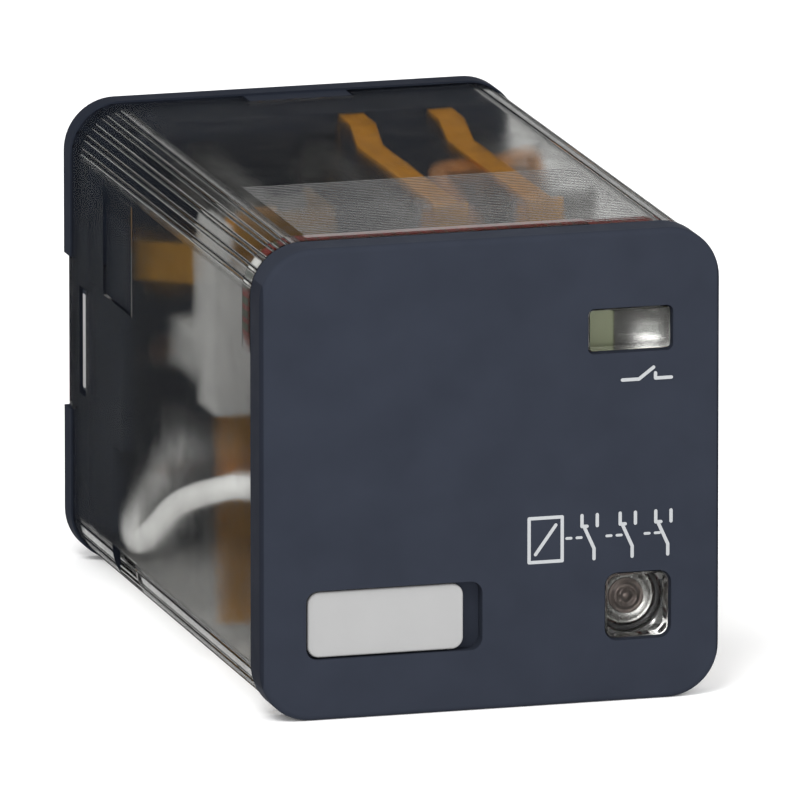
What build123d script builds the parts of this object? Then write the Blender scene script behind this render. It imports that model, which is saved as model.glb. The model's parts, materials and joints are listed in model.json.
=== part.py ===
"""Plug-in relay with an 11-pin round base, a clear cover and three change-over contacts.

Millimetres. +Z up, +X to the right as seen from the front, the front face towards -Y. The origin is the
centre of the base's socket face, and the pins leave it along +Y. Everything inside hangs on the base:
the magnet system in the middle, the contact strips above it, and the indicator board behind the front.
"""
import os
from math import cos, pi, radians, sin

from build123d import *

# Driving dimensions of the housing
WIDTH, HEIGHT = 36.0, 36.4          # outline of the front plate and of the base flange
DEPTH = 57.4                        # front face to socket face
CORNER_R = 4.0
PLATE_T = 2.9
PLATE_EDGE_R = 0.45
FLANGE_T = 1.85
COVER_INSET = 0.15                  # the cover stands this far inside the outline
WALL = 1.2
PLUG_GAP = 0.2                      # between the cover and the base inside it

FRONT_Y = -DEPTH
PLATE_BACK_Y = FRONT_Y + PLATE_T
COVER_X, COVER_Z = WIDTH / 2 - COVER_INSET, HEIGHT / 2 - COVER_INSET
COVER_R = CORNER_R - COVER_INSET
INNER_X, INNER_Z = COVER_X - WALL, COVER_Z - WALL
INNER_R = COVER_R - WALL
PLUG_Y = -4.9                       # front face of the base's inner slab
SIDE_WALL_X = (15.1, 16.05)         # the base's walls beside the mechanism

# Front openings: (x0, x1, z0, z1) and corner radius
FLAG_WINDOW, FLAG_WINDOW_R = (7.6, 14.3, 8.8, 12.3), 0.5
LED_WINDOW, LED_WINDOW_R = (8.96, 14.2, -13.48, -8.2), 1.0
LABEL_SLOT, LABEL_SLOT_R = (-14.46, -0.65, -13.5, -8.16), 0.95
LABEL, LABEL_R = (-14.28, -2.1, -13.36, -8.3), 0.9
LABEL_T, SLOT_DEPTH = 1.0, 1.2
WINDOW_GAP, WINDOW_SINK = 0.15, 0.25

# Cover details
RIB_X = (-13.0, 13.3)
RIB_Y0, RIB_PITCH, RIB_COUNT = PLATE_BACK_Y + 1.55, 0.56, 34
RIB_HEIGHT, RIB_FOOT, RIB_LAND = 0.03, 0.24, 0.14
NOTCH_Y, NOTCH_Z, NOTCH_DEPTH = (-19.5, -11.15), (5.1, 13.7), 0.3
CORNER_NOTCH_Y, CORNER_NOTCH_TOP_Z, CORNER_NOTCH_DEPTH = (-20.5, -13.7), -14.1, 0.65
LATCH_Y, LATCH_Z = (-5.9, -4.0), (-4.2, 4.3)
TONGUE_Z, TONGUE_END = (-5.8, 5.9), -0.95
FLANGE_WEB_X, FLANGE_WEB_Y = 17.6, -0.85   # what is left of the flange behind each tongue
KEY_X, KEY_Y0 = 4.1, -3.9
FLUTE_COUNT, FLUTE_R, FLUTE_SINK = 5, 0.25, 0.13   # ribs moulded down the inside of each rounded corner
LIP_Y, LIP_LOW_Z, LIP_X1 = 2.3, 9.9, 8.6

# Socket interface
PIN_COUNT, PIN_CIRCLE_D = 11, 19.05
PIN_R, PIN_LENGTH, PIN_TIP_R = 1.18, 10.7, 0.9
PIN_SHANK_R, PIN_WELL_R, PIN_WELL_DEPTH = 1.05, 1.4, 0.5
PIN_FIT = 0.02
SPIGOT_R, SPIGOT_LENGTH = 4.0, 12.6
SPIGOT_KEY_W, SPIGOT_KEY_H = 1.7, 0.9
KEY_ANGLE = -90.0                   # the spigot key points down, between the first and last pins

# Magnet system
COIL_Z = -2.0
CORE_R, POLE_R, POLE_T, SHANK_R = 3.5, 5.0, 0.6, 2.5
POLE_Y = -34.85                     # the gap in front of it is the armature's travel
YOKE_HALF_W, YOKE_T, YOKE_BACK_Y, YOKE_TOP_Z = 8.0, 1.6, -10.0, 6.0
LEG_TOP_Z = -12.6
LEG_FRONT_Y = -35.7
BOBBIN_HALF, BOBBIN_FLANGE_T = 10.0, 1.1
BOBBIN_Y = (-34.2, -12.6)
WINDING_R, WRAP_R = 8.6, 9.1
PILLARS = ((-5.3, 2.5), (5.3, 2.5), (-4.6, -4.2), (4.6, -4.2))
PILLAR_R = 1.7
SCREW_R, SCREW_HEAD_R, SCREW_HEAD_T = 0.9, 1.6, 0.8

# Armature group, at rest
ARMATURE_Y = (-37.3, -35.8)
ARMATURE_TOP_Z, ARMATURE_LOW_Z, TAIL_LOW_Z = 7.0, -13.8, -16.4
TAIL_HALF_W = 1.8
CARRIER_T = 2.3
CARRIER_X, CARRIER_Z = (-15.2, 14.0), (3.0, 12.2)
CHEEK_X, CHEEK_LIP_X, CHEEK_LOBE_X = (-15.6, -11.8), -14.6, -13.4
CHEEK_STEPS = ((1.6, -34.5), (5.6, -28.9), (6.9, -33.4))   # z each step starts at, and its rear edge
CHEEK_LOBE_Y, CHEEK_LOBE_TOP_Z = -20.0, 5.2
RIVET_X, RIVET_Z, RIVET_HEAD_T = (-5.0, 5.05), 5.0, 0.35
CLAMP_X, CLAMP_T = (-1.0, 11.4), 1.1
SPRING_Z, SPRING_R, SPRING_BORE_R = -15.6, 0.95, 0.6
SPRING_BACK_Y = -24.0
BLADE_T, BLADE_W, BLADE_TOP_Z = 0.4, 3.4, 15.6

# Contacts, measured from each blade's middle plane
CONTACT_Z, CONTACT_R, BUTTON_T = 14.2, 1.1, 0.6
NC_FACE, NC_TAB = 0.86, 1.55
NO_FACE, NO_TAB = 2.46, 3.0
STRIP_T, STRIP_W, LOW_STRIP_W, SIDE_STRIP_W = 0.4, 2.0, 1.6, 3.0
TOP_STRIP_Z, LOW_STRIP_Z = 16.1, 12.7
RISER_Y, STEP_Z = -8.6, 11.6        # where the top strips rise from their feet
LEFT_X, CENTRE_X, RIGHT_X = -12.6, 1.3, 8.8
SIDE_STRIP_X = -15.0
CROSS_X, CROSS_Y, CROSS_Z = (-15.0, -6.8), -30.4, (9.9, 12.4)   # where the side strip turns inwards
SIDE_BLADE_Y = -36.2                # the left blade stands beside the coil
FRONT_BLADE_Y = ARMATURE_Y[0] - CARRIER_T - BLADE_T / 2

# Leads and coil wires: what each soldered run does after it leaves its pin squarely
LEAD_R = {"lead_left": 0.9, "lead_centre": 0.6, "lead_right": 0.75}
LEAD_PINS = {"lead_left": 1, "lead_centre": 9, "lead_right": 10}
LEAD_ROUTES = {
    "lead_left": [(-13.8, -8.0, -8.6), (-14.0, -11.0, -12.0), (-14.9, -14.6, -13.3),
                  (-14.9, -18.5, -12.9), (-14.8, -26.5, -9.2), (-14.2, -31.5, -7.4),
                  (-12.9, -35.2, -5.9)],
    "lead_centre": [(12.6, -8.4, -1.4), (14.0, -13.0, 1.0), (15.2, -16.0, 6.0), (15.2, -17.6, 13.2),
                    (12.8, -21.6, 15.0), (9.0, -23.6, 15.1), (5.2, -24.0, 15.1), (4.1, -28.0, 15.0),
                    (3.9, -38.2, 13.3)],
    "lead_right": [(12.2, -8.0, -12.6), (14.2, -14.0, -12.6), (14.2, -26.0, -10.0),
                   (13.6, -33.0, -7.4), (9.6, -38.6, -5.0)],
}
COIL_WIRE_ROUTES = (
    (0, [(-5.6, -7.0, -9.3), (-10.7, -8.6, -9.5), (-10.7, BOBBIN_Y[1], -9.5)]),
    (2, [(-10.7, -8.6, 0.6), (-10.7, BOBBIN_Y[1], 2.0)]),
)
PIN_EXIT, LEAD_BEND = 2.2, 1.2
COIL_WIRE_R, COIL_WIRE_BEND = 0.25, 0.5

# Indicator board, lamp and flag
BOARD_Y = (-52.2, -50.6)
BOARD_X, BOARD_TOP_Z, BOARD_LOW_Z = 16.5, 16.7, -15.0
BOARD_STRIP_Z, BOARD_COLUMN_X, BOARD_R = 8.2, 5.6, 2.9
BOARD_OPENING = (7.3, 17.0, 7.0, 12.6)
LAMP_STEPS = ((2.25, 0.35), (1.85, 0.6), (1.3, 0.82), (0.75, 0.95))  # radius and height of each lens step
CUP_R, CUP_T = 2.75, 1.0
BOARD_PARTS = (                     # x, z, half width, half height, thickness
    (-13.6, 13.4, 1.6, 0.8, 1.1), (-9.2, 13.4, 1.6, 0.8, 0.6), (-4.4, 12.0, 1.0, 1.8, 1.3),
    (-0.4, 13.4, 1.6, 0.8, 0.6), (3.0, 12.4, 1.0, 1.3, 1.0), (12.0, 2.0, 0.8, 1.6, 0.6))
FLAG_X, FLAG_Z, FLAG_T, FLAG_GAP = (4.6, 16.0), (7.6, 12.6), 0.8, 0.3
FLAG_ARM_X, FLAG_ARM_Z = (4.6, 6.2), (9.0, 10.6)
FLAG_FACE_X, FLAG_FACE_Z, FLAG_FACE_T = (11.2, 15.4), (8.1, 11.3), 1.2
DISH_X, DISH_Z, DISH_R, DISH_FLOOR_T = 12.0, 10.0, 8.0, 0.25      # the dish lies off the face's middle

os.makedirs("parts", exist_ok=True)


def block(x, y, z):
    """A box between pairs of x, y and z."""
    size = [max(pair) - min(pair) for pair in (x, y, z)]
    middle = [(pair[0] + pair[1]) / 2 for pair in (x, y, z)]
    return Pos(*middle) * Box(*size)


def panel(rect, radius, y0, y1):
    """A plate across Y with rounded corners, its outline given as (x0, x1, z0, z1)."""
    x0, x1, z0, z1 = rect
    sketch = Pos((x0 + x1) / 2, (z0 + z1) / 2) * RectangleRounded(x1 - x0, z1 - z0, radius)
    return extrude(Plane.XZ.offset(-y1) * sketch, amount=y1 - y0)


def centred(half_x, half_z):
    """A rectangle around the origin, as (x0, x1, z0, z1)."""
    return (-half_x, half_x, -half_z, half_z)


def rod(radius, x, z, y0, y1):
    """A cylinder along Y."""
    return Pos(x, (y0 + y1) / 2, z) * Rot(90, 0, 0) * Cylinder(radius, y1 - y0)


def grown(rect, amount):
    """A rectangle moved outwards on all sides."""
    x0, x1, z0, z1 = rect
    return (x0 - amount, x1 + amount, z0 - amount, z1 + amount)


def ribbon_outline(points, width):
    """The closed outline of a band of this width along a polyline in a plane, with mitred corners."""
    steps = [(Vector(*b) - Vector(*a)).normalized() for a, b in zip(points, points[1:])]
    sides = []
    for index, point in enumerate(points):
        before, after = steps[max(index - 1, 0)], steps[min(index, len(steps) - 1)]
        along = (before + after).normalized()
        across = Vector(-along.Y, along.X) * (width / 2 / along.dot(before))
        sides.append((Vector(*point) + across, Vector(*point) - across))
    return [left for left, _ in sides] + [right for _, right in reversed(sides)]


def ribbon(plane, points, width, thickness):
    """A flat band of sheet metal lying on a plane, thickened along the plane's normal."""
    outline = Polyline(*ribbon_outline(points, width), close=True)
    return extrude(plane * make_face(outline), amount=thickness)


def wire(route, radius, bend):
    """A round wire along straight runs joined by arcs."""
    path = FilletPolyline(*route, radius=bend)
    return sweep(Plane(path @ 0, z_dir=path % 0) * Circle(radius), path)


def pin_place(index):
    """The x and z of a pin: the first and last pins stand either side of the key."""
    turn = radians(KEY_ANGLE - 360 / PIN_COUNT * (index + 0.5))
    radius = PIN_CIRCLE_D / 2
    return radius * cos(turn), radius * sin(turn)


def write(name, shape):
    shape.label = name
    export_step(shape, f"parts/{name}.step")


# ---------------------------------------------------------------- housing
def make_base():
    """Moulded base: flange, slab with pin bores, walls, shelf, yoke pillars, snap teeth and keyed spigot."""
    base = panel(centred(WIDTH / 2, HEIGHT / 2), CORNER_R, -FLANGE_T, 0)
    plug_x, plug_z = INNER_X - PLUG_GAP, INNER_Z - PLUG_GAP
    for side in (-1, 1):
        notch_z = (TONGUE_Z[0] - 0.2, TONGUE_Z[1] + 0.2)
        base -= block((side * (plug_x - 0.2), side * WIDTH / 2), (-FLANGE_T, FLANGE_WEB_Y), notch_z)
        base -= block((side * FLANGE_WEB_X, side * WIDTH / 2), (FLANGE_WEB_Y, 0), notch_z)
    base += panel(centred(plug_x, plug_z), INNER_R, PLUG_Y, -FLANGE_T)
    for side in (-1, 1):
        wall_x = (side * SIDE_WALL_X[0], side * SIDE_WALL_X[1])
        base += block(wall_x, (-13.6, PLUG_Y), (-6.9, 10.5))
        base += block(wall_x, (-10.6, PLUG_Y), (-14.0, -6.9))
        tooth = block((side * (plug_x - 0.5), side * (COVER_X - 0.25)), (-5.65, -4.15), (-3.9, 4.0))
        base += chamfer(tooth.edges().filter_by(Axis.Z).sort_by(Axis.Y)[:2], 0.5)
        base += block((side * (plug_x - 0.5), side * plug_x), (-6.4, PLUG_Y), (-4.6, 4.7))
        key_z = (side * (plug_z - 0.5), side * COVER_Z)
        base += block((-KEY_X, KEY_X), (KEY_Y0, -FLANGE_T), key_z)
    base += block((-13.6, 13.6), (RISER_Y + STRIP_T + 0.1, PLUG_Y), (TOP_STRIP_Z - 1.1, plug_z))
    base += block((1.75, 11.1), (RISER_Y - 0.7, RISER_Y - 0.1), (6.6, TOP_STRIP_Z - 0.1))
    base += block((6.0, 6.6), (RISER_Y - 0.7, PLUG_Y), (9.5, TOP_STRIP_Z - 0.1))
    for x, z in PILLARS:
        base += rod(PILLAR_R, x, z, YOKE_BACK_Y, PLUG_Y)
    for x, z in PILLARS[:2]:
        base -= rod(SCREW_R, x, z, YOKE_BACK_Y, PLUG_Y - 1.0)
    spigot = rod(SPIGOT_R, 0, 0, 0, SPIGOT_LENGTH)
    tip = spigot.edges().filter_by(GeomType.CIRCLE).sort_by(Axis.Y)[-1]
    base += chamfer(tip, 0.6)
    key_low = -(SPIGOT_R + SPIGOT_KEY_H)
    base += block((-SPIGOT_KEY_W / 2, SPIGOT_KEY_W / 2), (0, SPIGOT_LENGTH - 1.4), (key_low, -SPIGOT_R / 2))
    for index in range(PIN_COUNT):
        base -= rod(PIN_SHANK_R + PIN_FIT, *pin_place(index), PLUG_Y, 0)
        base -= rod(PIN_WELL_R, *pin_place(index), -PIN_WELL_DEPTH, 0)
    return base


def make_pin(index):
    """A contact pin with a rounded tip; its thinner shank passes through the base."""
    x, z = pin_place(index)
    pin = rod(PIN_R, x, z, 0, PIN_LENGTH)
    pin = fillet(pin.edges().sort_by(Axis.Y)[-1], PIN_TIP_R)
    return pin + rod(PIN_SHANK_R, x, z, PLUG_Y, 0)


def window_pad(rect, radius):
    """The clear block that the cover pushes through an opening of the front plate."""
    top = FRONT_Y + WINDOW_SINK
    pad = panel(grown(rect, -WINDOW_GAP), radius - WINDOW_GAP, top, PLATE_BACK_Y + WALL / 2)
    return fillet(pad.faces().sort_by(Axis.Y)[0].edges(), 0.15)


def grip_ribs(side):
    """Fine flat-topped ribs across the cover's top or bottom, near the front."""
    root, level, high = (side * (COVER_Z + rise) for rise in (-0.05, 0, RIB_HEIGHT))
    points = [(RIB_Y0, root)]
    for index in range(RIB_COUNT):
        start = RIB_Y0 + index * RIB_PITCH
        middle = start + RIB_FOOT / 2
        points += [(start, level), (middle - RIB_LAND / 2, high), (middle + RIB_LAND / 2, high)]
        points.append((start + RIB_FOOT, level))
    points.append((RIB_Y0 + (RIB_COUNT - 1) * RIB_PITCH + RIB_FOOT, root))
    profile = make_face(Polyline(*points, close=True))
    return extrude(Plane.YZ.offset(RIB_X[0]) * profile, amount=RIB_X[1] - RIB_X[0])


def corner_flutes():
    """Round ribs down the inside of the four rounded corners."""
    centre_x, centre_z = INNER_X - INNER_R, INNER_Z - INNER_R
    radius = INNER_R + FLUTE_SINK
    flutes = []
    for quarter in range(4):
        sx, sz = (1, -1, -1, 1)[quarter], (1, 1, -1, -1)[quarter]
        for index in range(FLUTE_COUNT):
            turn = pi / 2 * (index + 0.5) / FLUTE_COUNT
            x = sx * (centre_x + radius * cos(turn))
            z = sz * (centre_z + radius * sin(turn))
            flutes.append(rod(FLUTE_R, x, z, PLATE_BACK_Y + WALL / 2, -FLANGE_T))
    return flutes


def make_cover():
    """Clear five-sided cover with window pads, grip ribs, adapter notches, latch windows and tongues."""
    cover = panel(centred(COVER_X, COVER_Z), COVER_R, PLATE_BACK_Y, -FLANGE_T)
    cover -= panel(centred(INNER_X, INNER_Z), INNER_R, PLATE_BACK_Y + WALL, -FLANGE_T)
    cover += corner_flutes()
    lip = panel(centred(WIDTH / 2, HEIGHT / 2), CORNER_R, PLATE_BACK_Y, PLATE_BACK_Y + LIP_Y)
    lip -= panel(centred(COVER_X - 0.2, COVER_Z - 0.2), COVER_R - 0.2, PLATE_BACK_Y, PLATE_BACK_Y + LIP_Y)
    cover += lip & block((-WIDTH / 2, LIP_X1), (PLATE_BACK_Y, PLATE_BACK_Y + LIP_Y), (LIP_LOW_Z, HEIGHT / 2))
    cover += [grip_ribs(1), grip_ribs(-1)]
    cover += [window_pad(FLAG_WINDOW, FLAG_WINDOW_R), window_pad(LED_WINDOW, LED_WINDOW_R)]
    for side in (-1, 1):
        cover -= block((side * (COVER_X - NOTCH_DEPTH), side * WIDTH / 2), NOTCH_Y, NOTCH_Z)
        corner_x = (side * (COVER_X - CORNER_NOTCH_DEPTH), side * WIDTH / 2)
        cover -= block(corner_x, CORNER_NOTCH_Y, (-HEIGHT / 2, CORNER_NOTCH_TOP_Z))
        wall_x = (side * (INNER_X - 0.1), side * COVER_X)
        cover -= block(wall_x, LATCH_Y, LATCH_Z)
        cover += block((side * INNER_X, side * COVER_X), (-FLANGE_T - 0.5, TONGUE_END), TONGUE_Z)
        key_z = (side * (INNER_Z - 0.1), side * COVER_Z)
        cover -= block((-KEY_X - 0.15, KEY_X + 0.15), (KEY_Y0 - 0.15, -FLANGE_T), key_z)
    return cover


def make_front_plate():
    """Front plate with two windows, a label pocket, and a hollow back between its ribs."""
    plate = panel(centred(WIDTH / 2, HEIGHT / 2), CORNER_R, FRONT_Y, PLATE_BACK_Y)
    plate = fillet(plate.faces().sort_by(Axis.Y)[0].edges(), PLATE_EDGE_R)
    for rect, radius in ((FLAG_WINDOW, FLAG_WINDOW_R), (LED_WINDOW, LED_WINDOW_R)):
        plate -= panel(rect, radius, FRONT_Y, PLATE_BACK_Y)
    plate -= panel(LABEL_SLOT, LABEL_SLOT_R, FRONT_Y, FRONT_Y + SLOT_DEPTH)
    hollow_y = (FRONT_Y + 1.5, PLATE_BACK_Y)
    for hollow_x, hollow_z in (((-15, -6), (-6, 15)), ((-5, 5.5), (-6, 15)), ((7, 15), (-5, 6))):
        plate -= block(hollow_x, hollow_y, hollow_z)
    return plate


def make_label():
    """Removable marking label with a thin edge for the fingernail."""
    label = panel(LABEL, LABEL_R, FRONT_Y + SLOT_DEPTH - LABEL_T, FRONT_Y + SLOT_DEPTH - 0.05)
    return fillet(label.faces().sort_by(Axis.Y)[0].edges(), 0.15)


# ---------------------------------------------------------------- magnet system
def make_yoke():
    """L-shaped steel yoke: a plate behind the coil, a leg beneath it, and a hook for the return spring."""
    across, low = (-YOKE_HALF_W, YOKE_HALF_W), LEG_TOP_Z - YOKE_T
    yoke = block(across, (YOKE_BACK_Y - YOKE_T, YOKE_BACK_Y), (low, YOKE_TOP_Z))
    yoke += block(across, (LEG_FRONT_Y, YOKE_BACK_Y), (low, LEG_TOP_Z))
    bend = yoke.edges().filter_by(Axis.X).sort_by(lambda edge: edge.center().Y - edge.center().Z)[-1]
    yoke = fillet(bend, YOKE_T * 0.9)
    yoke -= rod(SHANK_R + PIN_FIT, 0, COIL_Z, YOKE_BACK_Y - YOKE_T, YOKE_BACK_Y)
    for x, z in PILLARS[:2]:
        yoke -= rod(SCREW_R + PIN_FIT, x, z, YOKE_BACK_Y - YOKE_T, YOKE_BACK_Y)
    hook_z = (SPRING_Z - SPRING_R + 0.1, low)
    return yoke + block((-1.4, 1.4), (SPRING_BACK_Y, SPRING_BACK_Y + 0.8), hook_z)


def make_core():
    """Iron core with its pole face in front and a shank riveted through the yoke."""
    yoke_front = YOKE_BACK_Y - YOKE_T
    core = rod(CORE_R, 0, COIL_Z, POLE_Y + POLE_T / 2, yoke_front)
    core += rod(POLE_R, 0, COIL_Z, POLE_Y, POLE_Y + POLE_T)
    core += rod(SHANK_R, 0, COIL_Z, yoke_front, YOKE_BACK_Y + 0.6)
    return core


def make_bobbin():
    """Coil former: a tube between two square flanges, with two terminal lugs on the rear one."""
    front, back = BOBBIN_Y
    square = (-BOBBIN_HALF, BOBBIN_HALF, COIL_Z - BOBBIN_HALF, COIL_Z + BOBBIN_HALF)
    bobbin = rod(CORE_R + 0.7, 0, COIL_Z, front, back)
    bobbin += panel(square, 1.5, front, front + BOBBIN_FLANGE_T)
    bobbin += panel(square, 1.5, back - BOBBIN_FLANGE_T, back)
    for z in (2.0, -9.5):
        bobbin += block((-11.2, -BOBBIN_HALF), (back - BOBBIN_FLANGE_T, back), (z - 0.8, z + 0.8))
    return bobbin - rod(CORE_R + 0.03, 0, COIL_Z, front, back)


def coil_sleeve(inner, outer):
    """A sleeve on the bobbin between its flanges."""
    front, back = BOBBIN_Y
    span = (front + BOBBIN_FLANGE_T, back - BOBBIN_FLANGE_T)
    return rod(outer, 0, COIL_Z, *span) - rod(inner, 0, COIL_Z, *span)


def make_yoke_screws():
    """Two pan-head screws that hold the yoke to the base's upper pillars."""
    front = YOKE_BACK_Y - YOKE_T
    screws = []
    for x, z in PILLARS[:2]:
        screw = rod(SCREW_R - PIN_FIT, x, z, front, PLUG_Y - 1.2)
        screw += rod(SCREW_HEAD_R, x, z, front - SCREW_HEAD_T, front)
        slot_x = (x - SCREW_HEAD_R, x + SCREW_HEAD_R)
        screws.append(screw - block(slot_x, (front - SCREW_HEAD_T, front - 0.4), (z - 0.2, z + 0.2)))
    return Compound(children=screws)


def make_hinge_clip():
    """Spring-steel strap under the yoke's leg; its two ends close in front of the armature's foot."""
    low, gap = LEG_TOP_Z - YOKE_T, 0.3
    inner, outer = YOKE_HALF_W + gap, YOKE_HALF_W + gap + 0.4
    clip = block((-outer, outer), (-32.5, -30.5), (low - 0.35, low))
    for side in (-1, 1):
        clip += block((side * inner, side * outer), (-38.3, -30.5), (low - 0.35, LEG_TOP_Z + 0.6))
        clip += block((side * (YOKE_HALF_W - 1.6), side * outer), (-38.3, -37.9), (low, LEG_TOP_Z + 0.6))
    return clip


# ---------------------------------------------------------------- armature group
def make_armature():
    """Flat iron armature in front of the pole face, with a tail below the hinge for the return spring."""
    armature = block((-YOKE_HALF_W, YOKE_HALF_W), ARMATURE_Y, (ARMATURE_LOW_Z, ARMATURE_TOP_Z))
    armature = fillet(armature.edges().filter_by(Axis.Y).sort_by(Axis.Z)[-2:], 2.0)
    armature += block((-TAIL_HALF_W, TAIL_HALF_W), ARMATURE_Y, (TAIL_LOW_Z, ARMATURE_LOW_Z))
    return armature


def side_blade():
    """The left blade: a long strip beside the coil, from the contact down to its lead."""
    x = (LEFT_X - BLADE_W / 2, LEFT_X + BLADE_W / 2)
    y = (SIDE_BLADE_Y - BLADE_T / 2, SIDE_BLADE_Y + BLADE_T / 2)
    return block(x, y, (-15.4, BLADE_TOP_Z))


def front_blade(x):
    """A blade on the carrier's front face."""
    y = (FRONT_BLADE_Y - BLADE_T / 2, FRONT_BLADE_Y + BLADE_T / 2)
    return block((x - BLADE_W / 2, x + BLADE_W / 2), y, (-7.0, BLADE_TOP_Z))


def make_carrier():
    """White insulating carrier on the armature, with a cheek beside the coil for the left blade."""
    front = ARMATURE_Y[0] - CARRIER_T
    carrier = block(CARRIER_X, (front, ARMATURE_Y[0]), CARRIER_Z)
    tops = [low for low, _ in CHEEK_STEPS[1:]] + [CARRIER_Z[1]]
    for (low, back), top in zip(CHEEK_STEPS, tops):
        carrier += block(CHEEK_X, (front, back), (low, top))
    lip_y = (front, CHEEK_STEPS[-1][1])
    carrier += block((CHEEK_X[0], CHEEK_LIP_X), lip_y, (CARRIER_Z[1], BLADE_TOP_Z))
    lobe_z = (CHEEK_STEPS[0][0], CHEEK_LOBE_TOP_Z)
    carrier += block((CHEEK_LOBE_X, CHEEK_X[1]), (front, CHEEK_LOBE_Y), lobe_z)
    hood_z = (ARMATURE_TOP_Z, ARMATURE_TOP_Z + 2.0)
    carrier += block((-YOKE_HALF_W, YOKE_HALF_W), (front, ARMATURE_Y[1]), hood_z)
    for x in RIVET_X:
        carrier -= rod(SCREW_R, x, RIVET_Z, front, ARMATURE_Y[0])
    return carrier - side_blade()


def make_blade_clamp():
    """Insulating bar that clamps the two front blades to the carrier."""
    back = FRONT_BLADE_Y - BLADE_T / 2
    clamp = block(CLAMP_X, (back - CLAMP_T, back), (RIVET_Z - 2.0, RIVET_Z + 2.0))
    clamp = fillet(clamp.edges().filter_by(Axis.Y), 0.6)
    return clamp - rod(SCREW_R, RIVET_X[1], RIVET_Z, back - CLAMP_T, back)


def make_carrier_rivets():
    """Two rivets that hold the carrier to the armature; the right one goes through the clamp too."""
    front = ARMATURE_Y[0] - CARRIER_T
    rivets = []
    for x, head_back in zip(RIVET_X, (front, FRONT_BLADE_Y - BLADE_T / 2 - CLAMP_T)):
        rivet = rod(SCREW_R - PIN_FIT, x, RIVET_Z, head_back, ARMATURE_Y[0])
        rivets.append(rivet + rod(SCREW_HEAD_R, x, RIVET_Z, head_back - RIVET_HEAD_T, head_back))
    return Compound(children=rivets)


def blade_places():
    """The x and the middle plane's y of each moving blade."""
    return ((LEFT_X, SIDE_BLADE_Y), (CENTRE_X, FRONT_BLADE_Y), (RIGHT_X, FRONT_BLADE_Y))


def make_moving_contacts():
    """Silver contact buttons on both faces of the three blades."""
    buttons = []
    for x, y in blade_places():
        for side in (-1, 1):
            near, far = sorted((y + side * BLADE_T / 2, y + side * (BLADE_T / 2 + BUTTON_T)))
            buttons.append(rod(CONTACT_R, x, CONTACT_Z, near, far))
    return Compound(children=buttons)


# ---------------------------------------------------------------- fixed contacts
def leg_plane():
    """The slab's front face, where the strips' feet are welded to the pins."""
    return Plane.XZ.offset(-PLUG_Y)


def top_strip(plan, foot, blade_x, blade_y):
    """A resting-contact strip under the cover's top: foot, step, riser, long run and turned-down end."""
    nc_y = blade_y - NC_TAB - STRIP_T
    x, half_w = plan[0][0], STRIP_W / 2
    across = (x - half_w, x + half_w)
    strip = ribbon(Plane.XY.offset(TOP_STRIP_Z), plan + [(plan[-1][0], nc_y)], STRIP_W, STRIP_T)
    strip += ribbon(leg_plane(), [(x, STEP_Z + STRIP_T)] + foot, STRIP_W, STRIP_T)
    strip += block(across, (RISER_Y, PLUG_Y), (STEP_Z, STEP_Z + STRIP_T))
    strip += block(across, (RISER_Y, RISER_Y + STRIP_T), (STEP_Z, TOP_STRIP_Z + STRIP_T))
    end_z = (CONTACT_Z - 1.6, TOP_STRIP_Z + STRIP_T)
    return strip + block((blade_x - 1.4, blade_x + 1.4), (nc_y, nc_y + STRIP_T), end_z)


def low_strip(x, foot, blade_y, end_x):
    """A working-contact strip that runs lower and turns up behind its blade."""
    end_y, half_w = blade_y + NO_TAB, LOW_STRIP_W / 2
    strip = block((x - half_w, x + half_w), (end_y, PLUG_Y), (LOW_STRIP_Z, LOW_STRIP_Z + STRIP_T))
    strip += ribbon(leg_plane(), [(x, LOW_STRIP_Z + STRIP_T)] + foot, LOW_STRIP_W, STRIP_T)
    return strip + block(end_x, (end_y, end_y + STRIP_T), (LOW_STRIP_Z, CONTACT_Z + 1.5))


def side_strip(foot):
    """The left resting-contact strip: on edge beside the coil, then inwards, then over the carrier."""
    nc_y = SIDE_BLADE_Y - NC_TAB - STRIP_T
    route = [(PLUG_Y, foot[0][1]), (-13.5, foot[0][1]), (CROSS_Y - 1.1, 11.7)]
    strip = ribbon(Plane.YZ.offset(SIDE_STRIP_X), route, SIDE_STRIP_W, STRIP_T)
    strip += ribbon(leg_plane(), foot, STRIP_W, STRIP_T)
    strip += block(CROSS_X, (CROSS_Y - STRIP_T, CROSS_Y), CROSS_Z)
    run_x, end_z = (CROSS_X[1] - STRIP_T, CROSS_X[1]), (CONTACT_Z - 1.1, CONTACT_Z + 1.5)
    strip += block(run_x, (CROSS_Y - 1.2, CROSS_Y), (CROSS_Z[0], end_z[1]))
    strip += block(run_x, (nc_y, CROSS_Y), end_z)
    return strip + block((LEFT_X - 1.4, CROSS_X[1]), (nc_y, nc_y + STRIP_T), end_z)


def strip_shapes():
    """Each fixed strip by name; the feet reach the nearest free pins."""
    pins = [pin_place(index) for index in range(PIN_COUNT)]
    return {
        "resting_strip_left": side_strip([(-14.2, 8.2), (-12.8, 7.4), pins[3]]),
        "resting_strip_centre": top_strip(
            [(2.8, RISER_Y + STRIP_T), (2.7, -12.0), (1.05, -20.0)], [(2.8, 11.0), pins[6]],
            CENTRE_X, FRONT_BLADE_Y),
        "resting_strip_right": top_strip(
            [(9.9, RISER_Y + STRIP_T), (9.8, -12.0), (8.3, -20.0)], [(9.9, 8.0), pins[7]],
            RIGHT_X, FRONT_BLADE_Y),
        "working_strip_left": low_strip(
            -8.4, [(-8.4, 11.6), pins[4]], SIDE_BLADE_Y, (LEFT_X - 1.3, -7.6)),
        "working_strip_centre": low_strip(
            0.7, [(0.7, 11.6), pins[5]], FRONT_BLADE_Y, (-0.1, CENTRE_X + 1.3)),
        "working_strip_right": low_strip(
            13.4, [(13.4, 2.0), pins[8]], FRONT_BLADE_Y, (RIGHT_X - 1.3, 14.2)),
    }


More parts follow.
